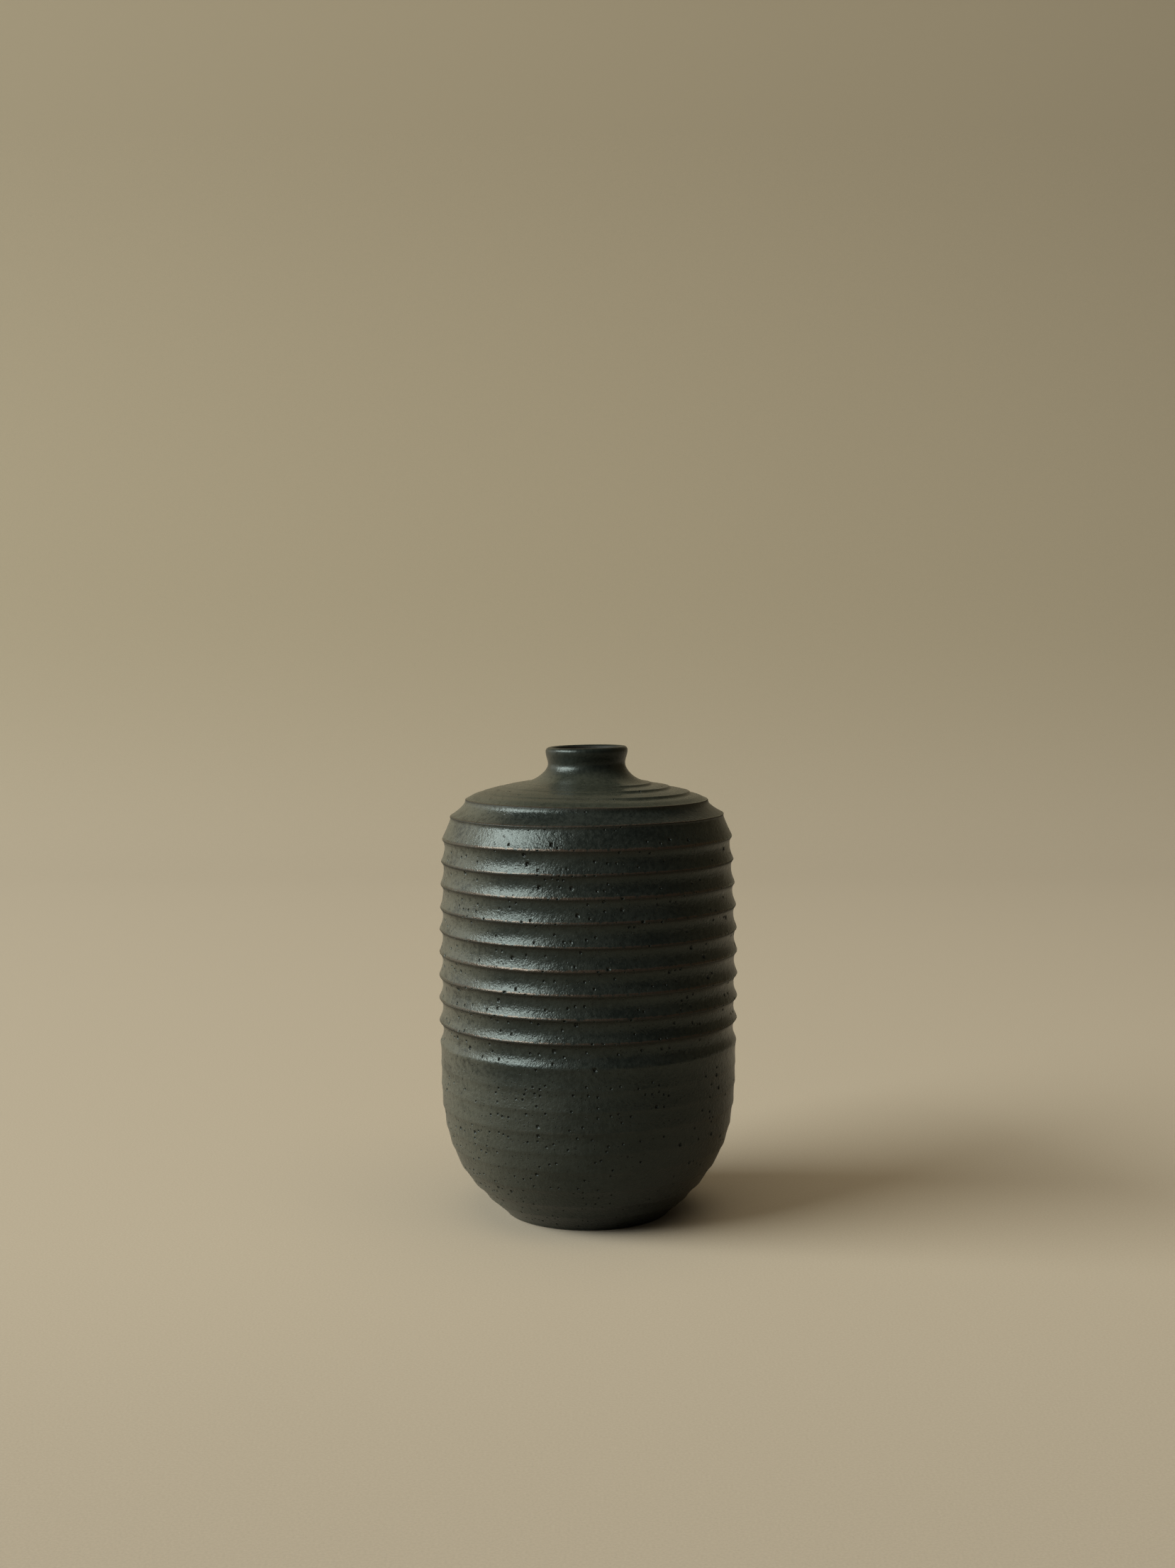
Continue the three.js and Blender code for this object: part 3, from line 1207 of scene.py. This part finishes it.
@dataclass(frozen=True)
class Tone:
    """Colours of the glaze where it is thick and where it is thinner, and the painted light of the side
    toward the window.
    """

    dark: Colour
    pale: Colour
    lit_colour: Colour


# The third colour of each tone is painted light: the paler look of the side toward the window light.
WALL_TONE = Tone((0.0068, 0.0088, 0.0076), (0.0155, 0.0185, 0.016), (0.06, 0.06, 0.046))
SHOULDER_TONE = Tone((0.0165, 0.019, 0.0145), (0.0275, 0.0305, 0.023), (0.05, 0.05, 0.038))
NECK_TONE = Tone((0.0055, 0.0072, 0.0058), (0.012, 0.0145, 0.0115), (0.02, 0.021, 0.016))


@dataclass(frozen=True)
class StonewareGlaze:
    """Satin green-black glaze that breaks to iron brown where it runs thin.

    Attributes:
        name: name of the material.
        below: colours below the turn.
        above: colours above the turn.
        rust: colour at the crests.
        pooled_and_shade: colour in the roots, pooled glaze darkened further as painted shade under the
            crests.
        pit_shade: painted shade in the pits and pinholes.
        shaded_colour: painted shade on the side away from the window light.
        gloss: roughness below and above the turn.
        bite: strength of the orange-peel relief below and above the turn.
        turn: heights in metres between which the lower values become the upper ones.
        painted_sides: how strongly, below the turn, painted light makes the side toward the window paler
            and painted shade makes the side away from it darker.
        pinhole_shade: strength of the painted shade in the pinholes.
        lit_way: direction of the window light, where the side is painted paler.
        shaded_way: direction away from the window light, where the side is painted darker.
    """

    name: str
    below: Tone = WALL_TONE
    above: Tone = WALL_TONE
    rust: Colour = (0.05, 0.037, 0.028)
    pooled_and_shade: Colour = (0.008, 0.0045, 0.002)
    pit_shade: Colour = (0.006, 0.006, 0.005)
    shaded_colour: Colour = (0.004, 0.0052, 0.0045)
    gloss: tuple[float, float] = (0.29, 0.29)
    bite: tuple[float, float] = (1.0, 1.0)
    turn: tuple[float, float] = (0.0, 1.0)
    painted_sides: float = 0.0
    pinhole_shade: float = 1.0
    lit_way: Triple = (-0.946, -0.326, 0.0)
    shaded_way: Triple = (0.8, -0.6, 0.0)

    def make(self) -> bpy.types.Material:
        """Builds the node material.

        Returns:
            The material.
        """
        bench = Bench(self.name)
        place = bench.place()
        high = bench.ramp(bench.node("SeparateXYZ", {0: place}).outputs[2], *self.turn)
        grain = bench.noise(place, 620.0, 3.0, 0.6)
        pores = bench.pores(place, 430.0, 0.08, 0.2)
        ragged = bench.maths("MULTIPLY", bench.attribute("crest"), bench.ramp(grain, 0.2, 0.62))
        thin = bench.ramp(ragged, 0.2, 0.7)
        root = bench.attribute("root")
        # Painted shade: pinholes and pits are darkened toward the pit colour, deepest at their bottoms.
        painted_pinholes = bench.maths("MULTIPLY", bench.maths("SUBTRACT", 1.0, pores), self.pinhole_shade)
        pit = bench.maths("MAXIMUM", bench.attribute("pit"), painted_pinholes)
        tone = bench.mix_colour(thin, self.body(bench, place, grain, high), self.rust)
        # Painted shade: the roots under the crests are darkened, partly pooled glaze and partly the shade
        # under the overhang.
        tone = bench.mix_colour(bench.maths("MULTIPLY", root, 0.95), tone, self.pooled_and_shade)
        rough = bench.maths("ADD", bench.spread(grain, -0.07, 0.1), bench.spread(high, *self.gloss))
        for mark, share in ((pit, 0.1), (root, 0.35), (thin, -0.04)):
            rough = bench.maths("ADD", rough, bench.maths("MULTIPLY", mark, share))
        return bench.finish({
            # Painted shade in the pits and pinholes.
            "Base Color": bench.mix_colour(pit, tone, self.pit_shade),
            "Metallic": bench.maths("MULTIPLY", thin, 0.55),
            "Roughness": rough,
            "Normal": self.relief(bench, place, pores, high),
            "IOR": 1.38,
            "Specular Tint": (0.86, 1.0, 0.96),
        })

    def body(self, bench: Bench, place: Socket, grain: Socket, high: Socket) -> Socket:
        """Colour of the whole glaze: clouded in level streaks, painted paler on the side toward the window
        light and darker on the side away from it.

        Args:
            bench: material that takes the nodes.
            place: place on the piece.
            grain: fine noise.
            high: 0 below the turn, 1 above it.

        Returns:
            The colour.
        """
        level = bench.node("Mapping", {0: place, "Scale": (1.0, 1.0, 2.4)}).outputs[0]
        blend = bench.mix_value(0.55, bench.noise(level, 52.0, 4.0, 0.55), grain)
        dark = bench.mix_colour(high, self.below.dark, self.above.dark)
        pale = bench.mix_colour(high, self.below.pale, self.above.pale)
        lit_colour = bench.mix_colour(high, self.below.lit_colour, self.above.lit_colour)
        tone = bench.mix_colour(bench.ramp(blend, 0.36, 0.64), dark, pale)
        # Painted light: the side toward the window light is mixed toward the paler lit colour.
        fired = bench.facing(place, self.lit_way, 0.76, 1.06)
        fired = bench.maths("MULTIPLY", fired, bench.ramp(blend, 0.3, 0.56))
        tone = bench.mix_colour(fired, tone, lit_colour)
        low = bench.maths("SUBTRACT", 1.0, high)
        # Below the turn: painted light on the side toward the window and painted shade on the side away
        # from it.
        sides = ((self.lit_way, 0.3, 0.4, lit_colour), (self.shaded_way, 0.5, 0.5, self.shaded_colour))
        for way, start, share, colour in sides:
            side = bench.maths("MULTIPLY", bench.facing(place, way, start, 0.95), low)
            tone = bench.mix_colour(bench.maths("MULTIPLY", side, share * self.painted_sides), tone, colour)
        return tone

    def relief(self, bench: Bench, place: Socket, pores: Socket, high: Socket) -> Socket:
        """Normal of the orange-peel relief.

        Args:
            bench: material that takes the nodes.
            place: place on the piece.
            pores: 0 in a pinhole, 1 outside it.
            high: 0 below the turn, 1 above it.

        Returns:
            The normal.
        """
        peel = bench.noise(place, 850.0, 2.0, 0.6)
        relief = bench.mix_value(0.35, peel, bench.noise(place, 1500.0, 2.0, 0.5))
        relief = bench.mix_value(0.25, relief, bench.noise(place, 230.0, 1.0, 0.5))
        relief = bench.mix_value(0.12, relief, pores)
        return bench.bump(relief, bench.spread(high, *self.bite), 0.0004)


@dataclass(frozen=True)
class LinerFinish:
    """Dark glossy glaze of the inside."""

    name: str = "inside glaze"
    colour: Colour = (0.016, 0.02, 0.019)
    pale: Colour = (0.034, 0.036, 0.03)

    def make(self) -> bpy.types.Material:
        """Builds the node material.

        Returns:
            The material.
        """
        bench = Bench(self.name)
        cloud = bench.noise(bench.place(), 160.0, 3.0, 0.5)
        return bench.finish({
            "Base Color": bench.mix_colour(bench.ramp(cloud, 0.35, 0.7), self.colour, self.pale),
            "Roughness": bench.spread(cloud, 0.2, 0.38),
        })


@dataclass(frozen=True)
class SlipFinish:
    """Iron-bearing slip, fired hard between two sections."""

    name: str = "fired slip"
    colour: Colour = (0.16, 0.085, 0.045)
    dark: Colour = (0.09, 0.06, 0.04)

    def make(self) -> bpy.types.Material:
        """Builds the node material.

        Returns:
            The material.
        """
        bench = Bench(self.name)
        grain = bench.noise(bench.place(), 900.0, 4.0, 0.6)
        return bench.finish({
            "Base Color": bench.mix_colour(bench.ramp(grain, 0.3, 0.7), self.colour, self.dark),
            "Roughness": bench.spread(grain, 0.7, 0.9),
            "Normal": bench.bump(grain, 0.4, 0.0002),
        })


@dataclass(frozen=True)
class Sweep:
    """Pale floor that curves up into the backdrop, in metres.

    Attributes:
        paper: colour of the floor.
        drop: darker colour of the backdrop, painted shade towards the back and up the backdrop.
        front: near end of the floor.
        bend: where the curve starts.
        curve: radius of the curve.
        top: height of the backdrop.
        sides: left and right side.
    """

    paper: Colour = (0.338, 0.293, 0.226)
    drop: Colour = (0.252, 0.216, 0.152)
    front: float = -1.6
    bend: float = 1.1
    curve: float = 0.9
    top: float = 3.2
    sides: tuple[float, float] = (-2.2, 1.3)

    def build(self) -> bpy.types.Object:
        """Makes the sheet.

        Returns:
            The linked object, given to the stage.
        """
        line = [(self.front, 0.0)]
        for step in range(17):
            turn = step / 16 * math.pi / 2
            line.append((self.bend + self.curve * math.sin(turn), self.curve * (1 - math.cos(turn))))
        line.append((self.bend + self.curve, self.top))
        verts = [(x, y, z) for y, z in line for x in self.sides]
        faces = [(2 * i, 2 * i + 1, 2 * i + 3, 2 * i + 2) for i in range(len(line) - 1)]
        mesh = bpy.data.meshes.new("sweep")
        mesh.from_pydata(verts, [], faces)
        mesh.shade_smooth()
        floor = bpy.data.objects.new("sweep", mesh)
        bpy.context.scene.collection.objects.link(floor)
        return floor

    def dress(self, floor: bpy.types.Object) -> None:
        """Gives the sheet its matt paper, with painted shade: a little darker in front and on the
        backdrop.

        Args:
            floor: the sheet.
        """
        bench = Bench("pale sweep")
        place = bench.place()
        parts = bench.node("SeparateXYZ", {0: place})
        run = bench.maths("ADD", parts.outputs[1], parts.outputs[2])
        # Painted shade: the paper darkens towards the back and up the backdrop.
        tone = bench.mix_colour(bench.ramp(run, 0.95, 2.1), self.paper, self.drop)
        fibre = bench.spread(bench.noise(place, 1300.0, 2.0, 0.6), 0.86, 1.14)
        # Painted shade: the floor darkens towards the camera.
        near = bench.spread(bench.ramp(parts.outputs[1], -0.34, -0.04), 0.9, 1.0)
        tone = bench.scaled(tone, bench.maths("MULTIPLY", fibre, near))
        finish = bench.finish({"Base Color": tone, "Roughness": 0.9, "Specular IOR Level": 0.2})
        floor.data.materials.append(finish)


@dataclass(frozen=True)
class Lamp:
    """Soft rectangular lamp aimed at the vase.

    Attributes:
        name: name of the lamp.
        azimuth: degrees to the right of the camera, seen from the vase.
        elevation: degrees above the floor.
        far: distance from the vase in metres.
        size: width and height in metres.
        power: power in watts.
        colour: colour of the light.
        glossy: whether it shows in the gloss.
        aim: height that it is aimed at, in metres.
    """

    name: str
    azimuth: float
    elevation: float
    far: float
    size: tuple[float, float]
    power: float
    colour: Colour
    glossy: bool = True
    aim: float = 0.09

    def hang(self) -> None:
        """Adds the lamp to the scene."""
        data = bpy.data.lights.new(self.name, "AREA")
        data.shape = "RECTANGLE"
        data.size, data.size_y = self.size
        data.energy = self.power
        data.color = self.colour
        lamp = bpy.data.objects.new(self.name, data)
        side, up = math.radians(self.azimuth), math.radians(self.elevation)
        way = Vector((math.sin(side) * math.cos(up), -math.cos(side) * math.cos(up), math.sin(up)))
        lamp.location = Vector((0, 0, self.aim)) + way * self.far
        lamp.rotation_mode = "QUATERNION"
        lamp.rotation_quaternion = way.to_track_quat("Z", "Y")
        lamp.visible_camera = False
        lamp.visible_glossy = self.glossy
        bpy.context.scene.collection.objects.link(lamp)


@dataclass(frozen=True)
class Room:
    """Walls of the room: pale on the window's side, dim and warm on the other, darkest in front.

    Attributes:
        window_side: colour on the left.
        front: colour behind the camera.
        back: colour at the right and behind the vase.
        ceiling: colour above.
        seen: colour that the camera sees beyond the sweep.
    """

    window_side: Colour = (0.31, 0.29, 0.235)
    front: Colour = (0.03, 0.032, 0.042)
    back: Colour = (0.14, 0.11, 0.062)
    ceiling: Colour = (0.03, 0.03, 0.028)
    seen: Colour = (0.3, 0.265, 0.2)

    def make(self) -> None:
        """Builds the world's nodes."""
        world = bpy.data.worlds.new("room")
        bpy.context.scene.world = world
        world.use_nodes = True
        walls = Nodes(world.node_tree)
        parts = walls.node("SeparateXYZ", {0: walls.node("TexCoord").outputs["Generated"]})
        right = walls.ramp(parts.outputs[0], -0.35, 0.35)
        back = walls.ramp(parts.outputs[1], -0.7, 0.2)
        above = walls.ramp(parts.outputs[2], 0.35, 0.8)
        tone = walls.mix_colour(right, self.window_side, walls.mix_colour(back, self.front, self.back))
        tone = walls.mix_colour(above, tone, self.ceiling)
        tone = walls.mix_colour(walls.node("LightPath").outputs["Is Camera Ray"], tone, self.seen)
        walls.link(tone, world.node_tree.nodes["Background"].inputs["Color"])


@dataclass(frozen=True)
class Studio:
    """Pale sweep, window-like light from the left, weak light from above, and the camera.

    Attributes:
        distance: how far in front of the vase the camera stands, in metres.
        eye: height of the camera in metres.
        aside: how far right of the vase it stands, in metres.
        tilt: degrees by which it looks down.
        lens: focal length in millimetres.
        lamps: lamps of the room.
    """

    distance: float = 0.7747
    eye: float = 0.2207
    aside: float = -0.00033
    tilt: float = 4.098
    lens: float = 46.53
    lamps: tuple[Lamp, ...] = (
        Lamp("window", -70.5, 31.5, 6.0, (5.0, 2.62), 655, (0.96, 1.0, 0.97)),
        Lamp("white wall", -118, 8, 3.3, (2.8, 1.8), 15, (1.0, 0.97, 0.88)),
        Lamp("ceiling", 20, 81, 2.6, (2.8, 2.8), 39, (1.0, 0.86, 0.64), glossy=False),
    )

    def build(self) -> None:
        """Lays the sweep, hangs the lamps and sets up the room."""
        sweep = Sweep()
        sweep.dress(sweep.build())
        for lamp in self.lamps:
            lamp.hang()
        Room().make()

    def camera(self) -> None:
        """Sets up the camera at the photograph's angle."""
        data = bpy.data.cameras.new("camera")
        data.lens = self.lens
        data.sensor_width = 36.0
        data.clip_start, data.clip_end = 0.01, 30.0
        eye = bpy.data.objects.new("camera", data)
        eye.location = (self.aside, -self.distance, self.eye)
        eye.rotation_euler = (math.radians(90 - self.tilt), 0, 0)
        bpy.context.scene.collection.objects.link(eye)
        bpy.context.scene.camera = eye
        bpy.context.scene.view_settings.view_transform = "Standard"


def pieces() -> Iterable[tuple[Piece, bpy.types.Material]]:
    """Each piece of the vase from the bowl up, then the seams and the liner, with its finish.

    Returns:
        Pieces and materials, in order.
    """
    yield (
        Bowl("thrown_bowl", "lower_bowl", "bowl_glaze", low=0.0, high=63.6, step=0.66, pits=820, seed=21),
        StonewareGlaze("bowl glaze", gloss=(0.36, 0.29), bite=(1.15, 1.0), turn=(0.052, 0.0636),
                       painted_sides=1.0).make(),
    )
    yield (
        Section("ribbed_body", "ribbed_wall", "rib_glaze", low=63.6, high=151.0, step=0.86, pits=900,
                seed=22),
        StonewareGlaze("rib glaze").make(),
    )
    yield (
        Section("closed_shoulder", "shoulder", "shoulder_glaze", low=151.0, high=167.9, step=0.36,
                pits=60, seed=23),
        StonewareGlaze("shoulder glaze", above=SHOULDER_TONE, gloss=(0.29, 0.27), bite=(1.0, 0.26),
                       turn=(0.1587, 0.1601), pinhole_shade=0.5).make(),
    )
    yield (
        Collar("lipped_neck", "neck_collar", "neck_glaze", low=167.9, high=173.43, step=0.42, pits=5,
               seed=24),
        StonewareGlaze("neck glaze", SHOULDER_TONE, NECK_TONE, gloss=(0.27, 0.32), bite=(0.26, 0.5),
                       turn=(0.1676, 0.1725), pinhole_shade=0.4).make(),
    )
    slip = SlipFinish().make()
    for node, low in (("slip_seam_lower", 63.3), ("slip_seam_upper", 150.69), ("slip_seam_neck", 167.59)):
        yield SlipSeam(node + "_ring", node, "slip_clay", low), slip
    yield Liner("poured_liner", "liner_glaze", "inside_glaze"), LinerFinish().make()


def main() -> None:
    """Builds the studio and the vase and reports each piece."""
    logging.basicConfig(level=logging.INFO, format="%(message)s")
    studio = Studio()
    studio.camera()
    studio.build()
    for part, finish in pieces():
        piece = part.build()
        part.dress(piece, finish)
        LOG.info("%s: %d faces", piece.name, len(piece.data.polygons))


if __name__ == "__main__":
    main()
